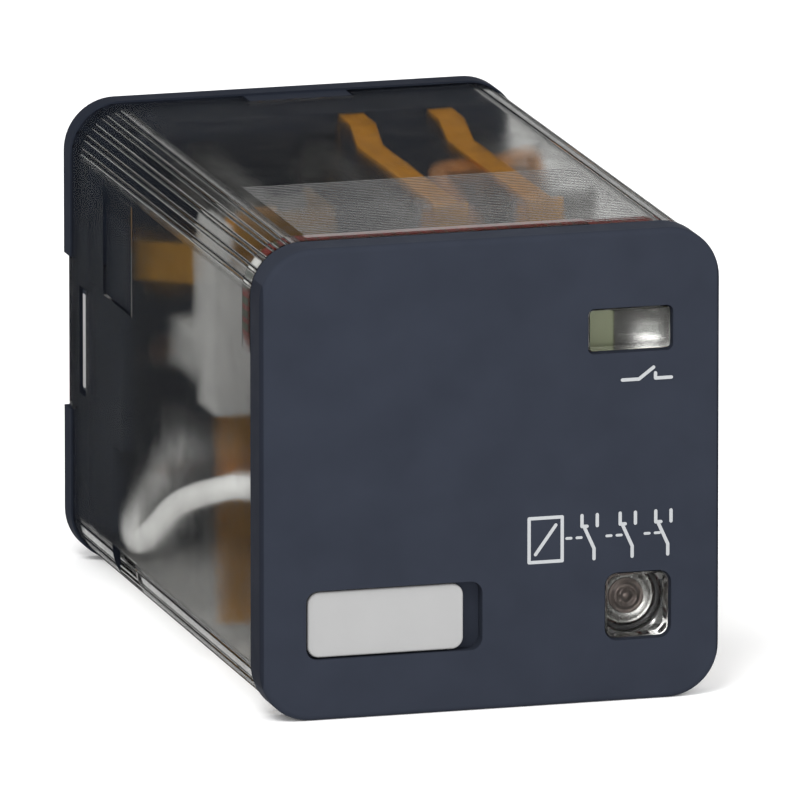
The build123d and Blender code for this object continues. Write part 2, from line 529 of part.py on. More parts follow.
def make_fixed_contacts(face, end, side):
    """Silver buttons on the strips' turned ends, facing the moving blades."""
    buttons = []
    for x, y in blade_places():
        near, far = sorted((y + side * face, y + side * end))
        buttons.append(rod(CONTACT_R, x, CONTACT_Z, near, far))
    return Compound(children=buttons)


# ---------------------------------------------------------------- leads, spring and indicator
def from_pin(index, route):
    """A route that first leaves a pin's inner end squarely."""
    x, z = pin_place(index)
    return [(x, PLUG_Y, z), (x, PLUG_Y - PIN_EXIT, z)] + route


def make_lead(name):
    """A sleeved flexible lead from a pin to a moving blade."""
    return wire(from_pin(LEAD_PINS[name], LEAD_ROUTES[name]), LEAD_R[name], LEAD_BEND)


def make_coil_wires():
    """The two ends of the winding, from their pins to the bobbin's lugs."""
    wires = [wire(from_pin(*places), COIL_WIRE_R, COIL_WIRE_BEND) for places in COIL_WIRE_ROUTES]
    return Compound(children=wires)


def make_return_spring():
    """The tension spring's envelope between the armature's tail and the yoke's hook."""
    span = (ARMATURE_Y[1], SPRING_BACK_Y)
    return rod(SPRING_R, 0, SPRING_Z, *span) - rod(SPRING_BORE_R, 0, SPRING_Z, *span)


def make_board():
    """Circuit board behind the front: a strip along the top and a column down the right side."""
    strip = panel((-BOARD_X, BOARD_X, BOARD_STRIP_Z, BOARD_TOP_Z), BOARD_R, *BOARD_Y)
    column = panel((BOARD_COLUMN_X, BOARD_X, BOARD_LOW_Z, BOARD_TOP_Z), BOARD_R, *BOARD_Y)
    return strip + column - panel(BOARD_OPENING, FLAG_WINDOW_R, *BOARD_Y)


def lamp_centre():
    """The x and z of the lamp, behind the middle of the lower window."""
    x0, x1, z0, z1 = LED_WINDOW
    return (x0 + x1) / 2, (z0 + z1) / 2


def make_lamp():
    """Clear lamp on the board, its lens moulded in round steps."""
    lamp = None
    for radius, height in LAMP_STEPS:
        step = rod(radius, *lamp_centre(), BOARD_Y[0] - height, BOARD_Y[0])
        step = fillet(step.edges().sort_by(Axis.Y)[0], 0.12)
        lamp = lamp + step if lamp else step
    return lamp


def make_lamp_cup():
    """Pale collar round the lamp, which fills the lower window."""
    front = BOARD_Y[0] - CUP_T
    cup = panel(grown(LED_WINDOW, 0.5), LED_WINDOW_R, front, BOARD_Y[0])
    return cup - rod(CUP_R, *lamp_centre(), front, BOARD_Y[0])


def make_board_parts():
    """Small surface-mounted parts on the board's rear face."""
    back = BOARD_Y[1]
    parts = []
    for x, z, half_x, half_z, height in BOARD_PARTS:
        parts.append(block((x - half_x, x + half_x), (back, back + height), (z - half_z, z + half_z)))
    return Compound(children=parts)


def make_flag():
    """Flag behind the upper window, on an arm from the contact carrier, so it lifts with the armature."""
    face_y = BOARD_Y[1] + FLAG_GAP
    flag = block(FLAG_X, (face_y, face_y + FLAG_T), FLAG_Z)
    return flag + block(FLAG_ARM_X, (face_y, ARMATURE_Y[0] - CARRIER_T), FLAG_ARM_Z)


def make_flag_face():
    """Bright dished metal face on the flag's right-hand part."""
    back = BOARD_Y[1] + FLAG_GAP
    dish = Pos(DISH_X, back - DISH_FLOOR_T - DISH_R, DISH_Z) * Sphere(DISH_R)
    return block(FLAG_FACE_X, (back - FLAG_FACE_T, back), FLAG_FACE_Z) - dish


def main():
    write("base", make_base())
    for index in range(PIN_COUNT):
        write(f"pin_{index + 1:02d}", make_pin(index))
    write("cover", make_cover())
    write("front_plate", make_front_plate())
    write("label", make_label())
    write("yoke", make_yoke())
    write("core", make_core())
    write("bobbin", make_bobbin())
    write("winding", coil_sleeve(CORE_R + 0.7, WINDING_R))
    write("coil_wrap", coil_sleeve(WINDING_R, WRAP_R))
    write("yoke_screws", make_yoke_screws())
    write("hinge_clip", make_hinge_clip())
    write("armature", make_armature())
    write("contact_carrier", make_carrier())
    write("carrier_rivets", make_carrier_rivets())
    write("blade_clamp", make_blade_clamp())
    write("moving_blade_left", side_blade())
    write("moving_blade_centre", front_blade(CENTRE_X))
    write("moving_blade_right", front_blade(RIGHT_X))
    write("moving_contacts", make_moving_contacts())
    for name, shape in strip_shapes().items():
        write(name, shape)
    write("resting_contacts", make_fixed_contacts(NC_FACE, NC_TAB, -1))
    write("working_contacts", make_fixed_contacts(NO_FACE, NO_TAB, 1))
    for name in LEAD_ROUTES:
        write(name, make_lead(name))
    write("coil_wires", make_coil_wires())
    write("return_spring", make_return_spring())
    write("indicator_board", make_board())
    write("indicator_lamp", make_lamp())
    write("lamp_cup", make_lamp_cup())
    write("board_parts", make_board_parts())
    write("indicator_flag", make_flag())
    write("flag_face", make_flag_face())


main()
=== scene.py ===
"""The looks of a plug-in relay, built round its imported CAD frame. Metres; the frame's axes and origin."""
import json
from math import atan2, cos, pi, radians, sin

import bmesh
import bpy
from mathutils import Matrix, Vector


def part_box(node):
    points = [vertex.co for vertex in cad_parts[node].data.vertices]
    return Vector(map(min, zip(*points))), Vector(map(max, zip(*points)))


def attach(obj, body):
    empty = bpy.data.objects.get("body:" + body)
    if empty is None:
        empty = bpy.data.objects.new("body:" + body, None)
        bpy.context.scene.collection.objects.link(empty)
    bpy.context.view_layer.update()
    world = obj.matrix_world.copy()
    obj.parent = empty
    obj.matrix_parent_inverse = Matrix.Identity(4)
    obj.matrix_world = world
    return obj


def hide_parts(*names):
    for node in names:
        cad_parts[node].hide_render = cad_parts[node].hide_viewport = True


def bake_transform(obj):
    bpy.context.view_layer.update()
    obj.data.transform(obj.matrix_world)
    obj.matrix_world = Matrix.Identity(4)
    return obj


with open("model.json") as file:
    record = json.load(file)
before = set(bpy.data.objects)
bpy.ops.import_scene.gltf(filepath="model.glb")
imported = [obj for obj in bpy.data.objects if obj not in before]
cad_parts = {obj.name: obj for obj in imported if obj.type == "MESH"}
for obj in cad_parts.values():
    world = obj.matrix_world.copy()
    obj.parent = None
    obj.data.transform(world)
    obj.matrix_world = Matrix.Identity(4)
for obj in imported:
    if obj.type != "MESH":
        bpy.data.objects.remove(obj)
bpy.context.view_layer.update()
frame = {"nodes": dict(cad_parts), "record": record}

MM = 0.001
PIN_COUNT = 11
FRONT_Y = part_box("front_plate")[0].y
FLOOR_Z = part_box("base")[0].z
FLOOR_HALF = 3.0

# The photograph's camera: a long lens, seen from the front left and a little above
AZIMUTH, ELEVATION = radians(-15.741), radians(12.82)
DISTANCE, LENS = 1.6855, 1006.4
AIM_RIGHT, AIM_UP = -6.852 * MM, 5.641 * MM
CLIP_NEAR, CLIP_FAR = 0.1, 20.0

# A white sky, and soft boxes that face the relay: place, width, height and power
SKY = 0.95
SOFT_BOXES = {
    "key": ((-0.25, -0.35, 0.55), 0.3, 0.3, 3.0),
    "fill": ((0.5, -0.3, 0.35), 0.35, 0.35, 1.2),
    "front": ((-0.2, -1.2, 0.2), 0.55, 0.2, 5.4),
}
LAMPS_AIM = (0, -0.03, 0)

# Zones where a finish changes: limits are an axis and a range of distance from the origin, in millimetres
# The snap teeth's pale patch is a painted highlight, where their ramps face the white sky
PAINTED_HIGHLIGHT_TEETH = [("X", 17.3, 17.8), ("Y", 4.1, 5.0), ("Z", 0.0, 3.7)]
# The plate's darker side faces are painted shade, where less light falls on them
PAINTED_SHADE_PLATE_SIDES = [("X", 17.75, 18.1)]
# The board's corner checker is painted glints and shade
PAINTED_GLINT_CORNERS = [("X", 15.3, 17.0), ("Z", 14.3, 15.9)]
GRIP_RIBS = [("X", 0.0, 13.3), ("Y", 34.0, 53.2), ("Z", 18.065, 19.0)]
FRONT_WALL = [("Y", 53.2, 58.0)]


# ---------------------------------------------------------------- material helpers
def shade(colour, factor):
    """The colour made lighter or darker, with full alpha."""
    return tuple(min(channel * factor, 1.0) for channel in colour) + (1.0,)


class Shader:
    """A material's node tree, with object coordinates in millimetres to hang patterns on."""

    def __init__(self, name):
        self.material = bpy.data.materials.new(name)
        self.material.use_nodes = True
        self.nodes = self.material.node_tree.nodes
        self.links = self.material.node_tree.links
        self.bsdf = self.nodes["Principled BSDF"]
        coordinates = self.nodes.new("ShaderNodeTexCoord")
        self.position = self.nodes.new("ShaderNodeVectorMath")
        self.position.operation = "SCALE"
        self.position.inputs["Scale"].default_value = 1 / MM
        self.links.new(coordinates.outputs["Object"], self.position.inputs[0])

    def set(self, **values):
        """Sets constants on the main shader's own sockets."""
        for name, value in values.items():
            self.bsdf.inputs[name.replace("_", " ")].default_value = value
        return self

    def stretched(self, scale):
        """The position in millimetres, multiplied by a number for each axis."""
        node = self.nodes.new("ShaderNodeVectorMath")
        node.operation = "MULTIPLY"
        node.inputs[1].default_value = scale
        self.links.new(self.position.outputs[0], node.inputs[0])
        return node.outputs[0]

    def noise(self, scale, detail=3.0, stretch=(1, 1, 1)):
        """Noise with this many features to the millimetre."""
        node = self.nodes.new("ShaderNodeTexNoise")
        node.inputs["Scale"].default_value = scale
        node.inputs["Detail"].default_value = detail
        self.links.new(self.stretched(stretch), node.inputs["Vector"])
        return node.outputs["Fac"]

    def ramp(self, source, low, high, start=0.3, end=0.7):
        """Two colours or two numbers across a pattern."""
        node = self.nodes.new("ShaderNodeValToRGB")
        first, last = node.color_ramp.elements
        first.position, last.position = start, end
        first.color = low if hasattr(low, "__len__") else (low, low, low, 1)
        last.color = high if hasattr(high, "__len__") else (high, high, high, 1)
        self.links.new(source, node.inputs["Fac"])
        return node.outputs["Color"]

    def stained(self, colour, scale, variation):
        """The colour, a little darker and lighter from place to place."""
        return self.ramp(self.noise(scale, 4.0), shade(colour, 1 - variation), shade(colour, 1 + variation))

    def maths(self, operation, first, second, third=0.0):
        """A maths node; each value is a number or a socket."""
        node = self.nodes.new("ShaderNodeMath")
        node.operation = operation
        for socket, value in zip(node.inputs, (first, second, third)):
            if isinstance(value, float):
                socket.default_value = value
            else:
                self.links.new(value, socket)
        return node.outputs[0]

    def mixed(self, share, first, second):
        """A mix of two shaders."""
        node = self.nodes.new("ShaderNodeMixShader")
        self.links.new(share, node.inputs[0])
        self.links.new(first.outputs[0], node.inputs[1])
        self.links.new(second.outputs[0], node.inputs[2])
        return node

    def inside(self, share, limits):
        """This share within the limits, and none outside."""
        axes = self.nodes.new("ShaderNodeSeparateXYZ")
        self.links.new(self.position.outputs[0], axes.inputs[0])
        for axis, low, high in limits:
            distance = self.maths("ABSOLUTE", axes.outputs[axis], 0.0)
            share = self.maths("MULTIPLY", share, self.maths("GREATER_THAN", distance, low))
            share = self.maths("MULTIPLY", share, self.maths("LESS_THAN", distance, high))
        return share

    def patched(self, plain, patch, limits):
        """The plain colour, with the patch's colour in its place within the limits."""
        node = self.nodes.new("ShaderNodeMixRGB")
        self.links.new(self.inside(1.0, limits), node.inputs["Fac"])
        self.links.new(plain, node.inputs["Color1"])
        self.links.new(patch, node.inputs["Color2"])
        return node.outputs["Color"]

    def haze(self):
        """A pale matt surface."""
        node = self.nodes.new("ShaderNodeBsdfPrincipled")
        node.inputs["Base Color"].default_value = (0.8, 0.8, 0.8, 1)
        node.inputs["Roughness"].default_value = 0.6
        return node

    def colour(self, source):
        """Puts a pattern on the base colour."""
        self.links.new(source, self.bsdf.inputs["Base Color"])
        return self

    def roughness(self, source):
        """Puts a pattern on the roughness."""
        self.links.new(source, self.bsdf.inputs["Roughness"])
        return self

    def bump(self, source, height_mm, strength=1.0):
        """Adds relief of this height; a later call stands on the one before."""
        node = self.nodes.new("ShaderNodeBump")
        node.inputs["Distance"].default_value = height_mm * MM
        node.inputs["Strength"].default_value = strength
        self.links.new(source, node.inputs["Height"])
        normal = self.bsdf.inputs["Normal"]
        if normal.is_linked:
            self.links.new(normal.links[0].from_socket, node.inputs["Normal"])
        self.links.new(node.outputs["Normal"], normal)
        return self


# ---------------------------------------------------------------- families of finishes
FLOW_SCALE, SHEEN_SCALE = 0.25, 0.6     # moulded plastic's broad patterns, in features to the millimetre


def moulded(name, colour, rough, grain_mm=0.12, relief_mm=0.004, variation=0.06, **values):
    """Injection-moulded plastic: fine spark-eroded grain, faint flow variation and handling sheen."""
    s = Shader(name).set(**values)
    s.colour(s.stained(colour, FLOW_SCALE, variation))
    s.roughness(s.ramp(s.noise(SHEEN_SCALE, 4.0), rough * 0.9, rough * 1.12))
    s.bump(s.noise(1 / grain_mm, 2.0), relief_mm, 0.5)
    return s.material


def two_tone(name, colour, patch, limits, rough, grain, relief_mm, patch_variation=0.06):
    """Dark moulding with painted light: a second colour within the limits, lighter for a highlight and
    darker for shade; its roughness runs between two numbers.
    """
    s = Shader(name).set(Specular_IOR_Level=0.002)
    plain = s.stained(colour, FLOW_SCALE, 0.06)
    s.colour(s.patched(plain, s.stained(patch, FLOW_SCALE, patch_variation), limits))
    s.roughness(s.ramp(s.noise(SHEEN_SCALE, 4.0), *rough))
    s.bump(s.noise(grain, 2.0), relief_mm, 0.5)
    return s.material


def metal(name, colour, rough, along="Y", scratch_mm=0.05, relief_mm=0.002, variation=0.1, **values):
    """Rolled or drawn metal: fine lines along one axis, with soft stains and uneven polish."""
    s = Shader(name).set(Metallic=1.0, **values)
    lines = tuple(0.04 if axis == along else 1.0 for axis in "XYZ")
    s.colour(s.stained(colour, 0.5, variation))
    s.roughness(s.ramp(s.noise(1.5, 5.0, lines), rough * 0.8, rough * 1.25))
    s.bump(s.noise(1 / scratch_mm, 3.0, lines), relief_mm, 0.6)
    return s.material


TOTAL_REFLECTION = 0.98             # the Fresnel share from which a wall counts as guiding the light
CLEAR_POLISH = 0.06                 # the roughness of a clear moulding's reflections
RIPPLE_STRENGTH = 0.4


def clear(name, tint, rough, shadow_tint, ior=1.57, gloss=0.12, ripple=0.004, frost=None,
          front_tint=None):
    """Clear moulding: it bends what is seen through it, and lets the lamps shine on what is inside.

    Its outer reflections are held down by the gloss, and its walls still guide light where they reflect
    it fully. Frost is a share of pale haze and the limits that it fills. The front wall, which is thin
    and polished, may pass more light than the rest."""
    s = Shader(name)
    s.nodes.remove(s.bsdf)
    through = s.nodes.new("ShaderNodeBsdfRefraction")
    through.inputs["Color"].default_value = shade(tint, 1.0)
    through.inputs["IOR"].default_value = ior
    mirror = s.nodes.new("ShaderNodeBsdfAnisotropic")
    mirror.inputs["Roughness"].default_value = CLEAR_POLISH
    relief = s.nodes.new("ShaderNodeBump")
    relief.inputs["Distance"].default_value = ripple * MM
    relief.inputs["Strength"].default_value = RIPPLE_STRENGTH
    s.links.new(s.noise(0.35, 2.0), relief.inputs["Height"])
    for node in (through, mirror):
        s.links.new(relief.outputs["Normal"], node.inputs["Normal"])
    s.links.new(s.ramp(s.noise(0.4, 3.0), rough * 0.8, rough * 1.25), through.inputs["Roughness"])

    fresnel = s.nodes.new("ShaderNodeFresnel")
    fresnel.inputs["IOR"].default_value = ior
    guided = s.maths("GREATER_THAN", fresnel.outputs[0], TOTAL_REFLECTION)
    guided = s.maths("MULTIPLY", guided, 1 - gloss)
    share = s.maths("MULTIPLY_ADD", fresnel.outputs[0], gloss, guided)
    surface = s.mixed(share, through, mirror)
    if frost:
        surface = s.mixed(s.inside(*frost), surface, s.haze())
    window = s.nodes.new("ShaderNodeBsdfTransparent")
    window.inputs["Color"].default_value = shade(shadow_tint, 1.0)
    if front_tint:
        front = s.ramp(s.inside(1.0, FRONT_WALL), shade(shadow_tint, 1.0), shade(front_tint, 1.0))
        s.links.new(front, window.inputs["Color"])
    path = s.nodes.new("ShaderNodeLightPath")
    spread = s.mixed(path.outputs["Is Diffuse Ray"], surface, window)
    lit = s.mixed(path.outputs["Is Shadow Ray"], spread, window)
    s.links.new(lit.outputs[0], s.nodes["Material Output"].inputs["Surface"])
    return s.material


# ---------------------------------------------------------------- finishes of their own
def tape_material():
    """Dark coil tape: wound bands with a soft sheen and shallow overlaps."""
    s = Shader("dark_tape").set(Specular_IOR_Level=0.05)
    s.colour(s.ramp(s.noise(0.8, 3.0), (0.012, 0.0125, 0.014, 1), (0.022, 0.023, 0.025, 1)))
    bands = s.nodes.new("ShaderNodeTexWave")
    bands.bands_direction = "Y"
    bands.wave_profile = "SAW"
    bands.inputs["Scale"].default_value = 0.055
    bands.inputs["Distortion"].default_value = 0.4
    s.links.new(s.position.outputs[0], bands.inputs["Vector"])
    s.roughness(s.ramp(s.noise(2.0, 3.0), 0.38, 0.55))
    s.bump(bands.outputs["Fac"], 0.05, 0.6)
    s.bump(s.noise(6.0, 3.0), 0.01, 0.4)
    return s.material


def winding_material():
    """Enamelled copper wire laid in close turns round the coil's axis."""
    s = Shader("copper_wire").set(Metallic=1.0, Coat_Weight=0.6, Coat_Roughness=0.15)
    s.colour(s.ramp(s.noise(0.6, 3.0), (0.45, 0.16, 0.06, 1), (0.62, 0.26, 0.10, 1)))
    turns = s.nodes.new("ShaderNodeTexWave")
    turns.bands_direction = "Y"
    turns.inputs["Scale"].default_value = 1.2
    s.links.new(s.position.outputs[0], turns.inputs["Vector"])
    s.roughness(s.ramp(s.noise(2.0, 3.0), 0.25, 0.38))
    s.bump(turns.outputs["Fac"], 0.06, 0.8)
    return s.material


def laminate_material():
    """Dark red board lacquer with dark green lines, and at its corners a checker of pale and dark diamonds
    that paints glints and shade.
    """
    s = Shader("board_laminate").set(Specular_IOR_Level=0.1)
    axes = s.nodes.new("ShaderNodeSeparateXYZ")
    s.links.new(s.position.outputs[0], axes.inputs[0])
    across, up = axes.outputs["X"], axes.outputs["Z"]

    face = s.nodes.new("ShaderNodeCombineXYZ")
    s.links.new(across, face.inputs["X"])
    s.links.new(up, face.inputs["Y"])
    weave = s.nodes.new("ShaderNodeTexBrick")
    weave.inputs["Scale"].default_value = 0.5
    weave.inputs["Color1"].default_value = (0.11, 0.014, 0.012, 1)
    weave.inputs["Color2"].default_value = (0.15, 0.020, 0.016, 1)
    weave.inputs["Mortar"].default_value = (0.030, 0.050, 0.032, 1)
    weave.inputs["Mortar Size"].default_value = 0.025
    s.links.new(face.outputs[0], weave.inputs["Vector"])

    # a checker of painted glints and shade at the board's corners
    diagonal = s.nodes.new("ShaderNodeCombineXYZ")
    s.links.new(s.maths("ADD", across, up), diagonal.inputs["X"])
    s.links.new(s.maths("SUBTRACT", across, up), diagonal.inputs["Y"])
    diamonds = s.nodes.new("ShaderNodeTexChecker")
    diamonds.inputs["Scale"].default_value = 1.0
    diamonds.inputs["Color1"].default_value = (0.75, 0.75, 0.73, 1)
    diamonds.inputs["Color2"].default_value = (0.14, 0.15, 0.14, 1)
    s.links.new(diagonal.outputs[0], diamonds.inputs["Vector"])

    s.colour(s.patched(weave.outputs["Color"], diamonds.outputs["Color"], PAINTED_GLINT_CORNERS))
    s.roughness(s.ramp(s.noise(1.0, 3.0), 0.45, 0.6))
    s.bump(s.noise(4.0, 2.0, (1, 1, 4)), 0.01, 0.4)
    return s.material


def braid_material():
    """Bare copper braid, with the fine grain of its crossing strands."""
    s = Shader("lead_braid").set(Metallic=1.0)
    s.colour(s.ramp(s.noise(6.0, 4.0), (0.45, 0.19, 0.06, 1), (0.78, 0.40, 0.15, 1)))
    s.roughness(s.ramp(s.noise(8.0, 3.0), 0.35, 0.6))
    s.bump(s.noise(9.0, 2.0), 0.05, 0.8)
    return s.material


# One material for each slot, and a few for pieces that only this script makes
MATERIALS = {
    # the housing and its print: the base has a painted highlight on its snap teeth, and the plate painted
    # shade on its side faces
    "base_plastic": two_tone("base_plastic", (0.0140, 0.0167, 0.0242), (0.30, 0.30, 0.30), PAINTED_HIGHLIGHT_TEETH,
                             rough=(0.42, 0.52), grain=8.0, relief_mm=0.001, patch_variation=0.03),
    # painted shade on the plate's side faces
    "plate_plastic": two_tone("plate_plastic", (0.0216, 0.0251, 0.0350), (0.0130, 0.0150, 0.0215),
                              PAINTED_SHADE_PLATE_SIDES, rough=(0.38, 0.47), grain=11.0, relief_mm=0.004),
    "clear_cover": clear("clear_cover", (0.79, 0.79, 0.785), 0.13, (0.93, 0.93, 0.925), gloss=0.03,
                         frost=(0.16, GRIP_RIBS), front_tint=(0.97, 0.97, 0.97)),
    "label_plastic": moulded("label_plastic", (0.26, 0.26, 0.26), 0.62, grain_mm=0.2, variation=0.02),
    "print_ink": moulded("print_ink", (0.30, 0.31, 0.32), 0.55, variation=0.03),
    # the magnet system
    "zinc_steel": metal("zinc_steel", (0.42, 0.42, 0.41), 0.42),
    "spring_steel": metal("spring_steel", (0.55, 0.55, 0.54), 0.25, along="X"),
    "copper_wire": winding_material(),
    "dark_tape": tape_material(),
    # the contacts and what carries them
    "brass_plain": metal("brass_plain", (0.72, 0.50, 0.22), 0.3),
    "white_insulator": moulded("white_insulator", (0.32, 0.32, 0.315), 0.55, Specular_IOR_Level=0.1),
    "copper_strip": metal("copper_strip", (0.80, 0.41, 0.085), 0.40, variation=0.12,
                          Specular_Tint=(0.8, 0.5, 0.2, 1)),
    "brass_strip": metal("brass_strip", (0.33, 0.19, 0.055), 0.5, variation=0.15,
                         Specular_Tint=(0.7, 0.5, 0.2, 1)),
    "tinned_strip": metal("tinned_strip", (0.24, 0.24, 0.235), 0.5, variation=0.12),
    "silver_contact": metal("silver_contact", (0.80, 0.79, 0.76), 0.3, along="Z"),
    "lead_sleeve": moulded("lead_sleeve", (0.80, 0.80, 0.79), 0.6, grain_mm=0.15, relief_mm=0.01),
    "lead_braid": braid_material(),
    "solder": metal("solder", (0.66, 0.66, 0.67), 0.30, along="Z", scratch_mm=0.4, relief_mm=0.01),
    "pin_metal": metal("pin_metal", (0.62, 0.61, 0.58), 0.24, along="Y"),
    # the board, the lamp and the flag
    "board_laminate": laminate_material(),
    "board_component": moulded("board_component", (0.03, 0.03, 0.032), 0.4),
    "led_lens": clear("led_lens", (0.95, 0.95, 0.94), 0.03, (0.96, 0.96, 0.95), ior=1.5, gloss=0.8),
    "lamp_collar": metal("lamp_collar", (0.86, 0.86, 0.85), 0.26, along="X", scratch_mm=1.2,
                         relief_mm=0.06),
    "lamp_core": metal("lamp_core", (0.145, 0.118, 0.11), 0.38, variation=0.2),
    "lamp_dish": metal("lamp_dish", (0.38, 0.38, 0.375), 0.26, variation=0.1),
    "flag_plastic": moulded("flag_plastic", (0.53, 0.58, 0.38), 0.45),
    "flag_metal": metal("flag_metal", (0.215, 0.215, 0.21), 0.24, along="X", relief_mm=0.0003,
                        variation=0.04),
}


def dress_frame():
    """Every CAD node gets the material of its slot."""
    slots = {part["node"]: part["material_slot"] for part in frame["record"]["subparts"]}
    for name, node in frame["nodes"].items():
        for slot in node.material_slots:
            slot.material = MATERIALS[slots[name]]


# ---------------------------------------------------------------- mesh helpers
def add_piece(name, mesh_or_bmesh, body, slot, material=None):
    """Links a mesh as a piece with its slot's finish, or another finish if one is named, and rides on a
    body if one is named.
    """
    mesh = mesh_or_bmesh
    if isinstance(mesh_or_bmesh, bmesh.types.BMesh):
        mesh = bpy.data.meshes.new(name)
        bmesh.ops.recalc_face_normals(mesh_or_bmesh, faces=mesh_or_bmesh.faces)
        mesh_or_bmesh.to_mesh(mesh)
        mesh_or_bmesh.free()
    piece = bpy.data.objects.new(name, mesh)
    bpy.context.scene.collection.objects.link(piece)
    mesh.materials.clear()
    mesh.materials.append(MATERIALS[material or slot])
    if body:
        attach(piece, body)
    return piece


def evaluated_mesh(holder):
    """The mesh of a curve or text object that is already in the scene; the object is then removed."""
    bpy.context.view_layer.update()
    mesh = bpy.data.meshes.new_from_object(holder.evaluated_get(bpy.context.evaluated_depsgraph_get()))
    bpy.data.objects.remove(holder)
    return mesh


def tube_mesh(name, points, radius, sides=20, steps=12):
    """A round tube along a smooth curve through given points."""
    curve = bpy.data.curves.new(name, "CURVE")
    curve.dimensions = "3D"
    curve.bevel_depth = radius
    curve.bevel_resolution = sides // 4
    curve.use_fill_caps = True
    spline = curve.splines.new("NURBS")
    spline.points.add(len(points) - 1)
    for target, point in zip(spline.points, points):
        target.co = (*point, 1)
    spline.order_u = 3
    spline.use_endpoint_u = True
    spline.resolution_u = steps
    holder = bpy.data.objects.new(name, curve)
    bpy.context.scene.collection.objects.link(holder)
    mesh = evaluated_mesh(holder)
    for polygon in mesh.polygons:
        polygon.use_smooth = True
    return mesh


def lathe_mesh(profile, centre, sides=40):
    """A body turned about a line along Y; the profile is a list of (radius, y), in millimetres."""
    mesh = bmesh.new()
    middle_x, middle_z = centre
    turns = [2 * pi * index / sides for index in range(sides)]
    rings = []
    for radius, y in profile:
        ring = [(middle_x + radius * cos(turn), y, middle_z + radius * sin(turn)) for turn in turns]
        rings.append([mesh.verts.new(point) for point in in_metres(ring)])
    for near, far in zip(rings, rings[1:]):
        bridge(mesh, near, far)
    for ring in (rings[0], rings[-1]):
        mesh.faces.new(ring)
    for face in mesh.faces:
        face.smooth = len(face.verts) == 4
    return mesh


def bridge(mesh, near, far):
    """A band of four-sided faces between two rings of corners."""
    for index in range(len(near)):
        after = (index + 1) % len(near)
        mesh.faces.new((near[index], near[after], far[after], far[index]))


def join_meshes(meshes):
    """Several bmeshes as one."""
    whole = bmesh.new()
    for mesh in meshes:
        data = bpy.data.meshes.new("part")
        mesh.to_mesh(data)
        mesh.free()
        whole.from_mesh(data)
        bpy.data.meshes.remove(data)
    return whole


def in_metres(points):
    """Points in millimetres, as the scene's metres."""
    return [tuple(MM * value for value in point) for point in points]


def middle_of(node):
    """A CAD node's middle in millimetres, as its (x, z) place seen along Y, and its rear end."""
    low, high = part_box(node)
    return ((low.x + high.x) / 2 / MM, (low.z + high.z) / 2 / MM), high.y / MM


# ---------------------------------------------------------------- stage
def make_floor():
    """A plain pale floor under a white sky."""
    world = bpy.data.worlds.new("studio")
    bpy.context.scene.world = world
    world.use_nodes = True
    world.node_tree.nodes["Background"].inputs["Color"].default_value = (1, 1, 1, 1)
    world.node_tree.nodes["Background"].inputs["Strength"].default_value = SKY

    mesh = bpy.data.meshes.new("floor")
    corners = [(x * FLOOR_HALF, y * FLOOR_HALF, FLOOR_Z) for x, y in ((-1, -1), (1, -1), (1, 1), (-1, 1))]
    mesh.from_pydata(corners, [], [(0, 1, 2, 3)])
    floor = bpy.data.objects.new("floor", mesh)
    bpy.context.scene.collection.objects.link(floor)
    s = Shader("floor").set(Roughness=0.9, Specular_IOR_Level=0.1)
    s.colour(s.ramp(s.noise(0.01, 2.0), (0.95, 0.95, 0.95, 1), (0.97, 0.97, 0.97, 1)))
    mesh.materials.append(s.material)


def make_lights():
    """Soft boxes turned towards the relay."""
    for name, (place, width, height, power) in SOFT_BOXES.items():
        lamp = bpy.data.lights.new(name, "AREA")
        lamp.shape = "RECTANGLE"
        lamp.size, lamp.size_y = width, height
        lamp.energy = power
        holder = bpy.data.objects.new(name, lamp)
        bpy.context.scene.collection.objects.link(holder)
        holder.location = place
        beam = Vector(LAMPS_AIM) - Vector(place)
        holder.rotation_euler = beam.to_track_quat("-Z", "Y").to_euler()


def make_camera():
    """The long lens, at the photograph's angle."""
    view_from = Vector((sin(AZIMUTH) * cos(ELEVATION), -cos(AZIMUTH) * cos(ELEVATION), sin(ELEVATION)))
    forward = -view_from
    right = forward.cross(Vector((0, 0, 1))).normalized()
    up = right.cross(forward)
    camera = bpy.data.objects.new("camera", bpy.data.cameras.new("camera"))
    bpy.context.scene.collection.objects.link(camera)
    camera.data.lens = LENS
    camera.data.clip_start, camera.data.clip_end = CLIP_NEAR, CLIP_FAR
    target = Vector((0, FRONT_Y, 0)) + right * AIM_RIGHT + up * AIM_UP
    turn = Matrix((right, up, view_from)).transposed()
    camera.matrix_world = Matrix.Translation(target + view_from * DISTANCE) @ turn.to_4x4()
    bpy.context.scene.camera = camera
    bpy.context.scene.view_settings.view_transform = "Standard"


